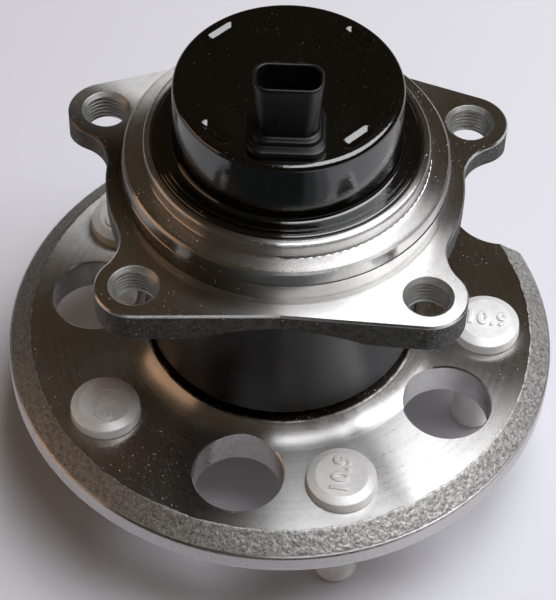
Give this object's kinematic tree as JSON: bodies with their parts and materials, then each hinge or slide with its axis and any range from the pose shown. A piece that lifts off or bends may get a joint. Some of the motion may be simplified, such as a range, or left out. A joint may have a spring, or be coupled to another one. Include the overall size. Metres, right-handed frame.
{
  "type": "rear wheel hub bearing unit",
  "caption": "Flanged hub with wheel studs turning in a four-eared outer ring on two rows of balls, closed by a black cap with a wheel speed sensor and connector.",
  "frame": {"origin": "centre of the wheel seat, where the wheel axis meets the face that the wheel and disc seat on", "axes": "+Z along the wheel axis, inboard, to the sensor cap; the knuckle flange is symmetric about the YZ plane, with its close pair of bolts and the connector on the -Y side"},
  "size_m": [0.152, 0.152, 0.1537],
  "materials": {
    "forged_hub_steel": "machined inboard face and pilots, forged band round the rim",
    "forged_ring_steel": "machined knuckle face and pilot, dark forged barrel",
    "race_steel": "ground",
    "ball_steel": "polished",
    "stud_steel": "zinc plated",
    "nut_steel": "phosphated",
    "pressed_steel": "pressed strip, satin",
    "black_cap": "gloss black coating",
    "black_connector": "satin moulded",
    "seal_rubber": "matte",
    "cage_plastic": "natural moulded",
    "bobbin_plastic": "moulded",
    "coil_copper": "enamelled wire",
    "ferrite": "sintered",
    "terminal_tin": "tin plated"
  },
  "bodies": {
    "knuckle_side": {"outer_ring": "forged_ring_steel", "seal_case": "pressed_steel", "seal_lip": "seal_rubber", "sensor_cap": "black_cap", "connector_housing": "black_connector", "connector_terminals": "terminal_tin", "coil_bobbin": "bobbin_plastic", "sensor_coil": "coil_copper", "sensor_magnet": "ferrite", "pole_ring": "pressed_steel"},
    "wheel_hub": {"hub_spindle": "forged_hub_steel", "wheel_studs": "stud_steel", "inner_ring": "race_steel", "lock_nut": "nut_steel", "seal_slinger": "pressed_steel", "tone_ring": "pressed_steel"},
    "outboard_ball_row": {"outboard_balls": "ball_steel", "outboard_cage": "cage_plastic"},
    "inboard_ball_row": {"inboard_balls": "ball_steel", "inboard_cage": "cage_plastic"}
  },
  "joints": [
    {"name": "hub_spin", "type": "hinge", "parent": "knuckle_side", "child": "wheel_hub", "pos_m": [0, 0, 0], "axis": [0, 0, 1], "continuous": true},
    {"name": "outboard_row_spin", "type": "hinge", "parent": "knuckle_side", "child": "outboard_ball_row", "pos_m": [0, 0, 0.03], "axis": [0, 0, 1], "continuous": true},
    {"name": "inboard_row_spin", "type": "hinge", "parent": "knuckle_side", "child": "inboard_ball_row", "pos_m": [0, 0, 0.058], "axis": [0, 0, 1], "continuous": true}
  ],
  "couplings": [
    {"joint": "outboard_row_spin", "follows": "hub_spin", "ratio": 0.4113},
    {"joint": "inboard_row_spin", "follows": "hub_spin", "ratio": 0.4113}
  ]
}
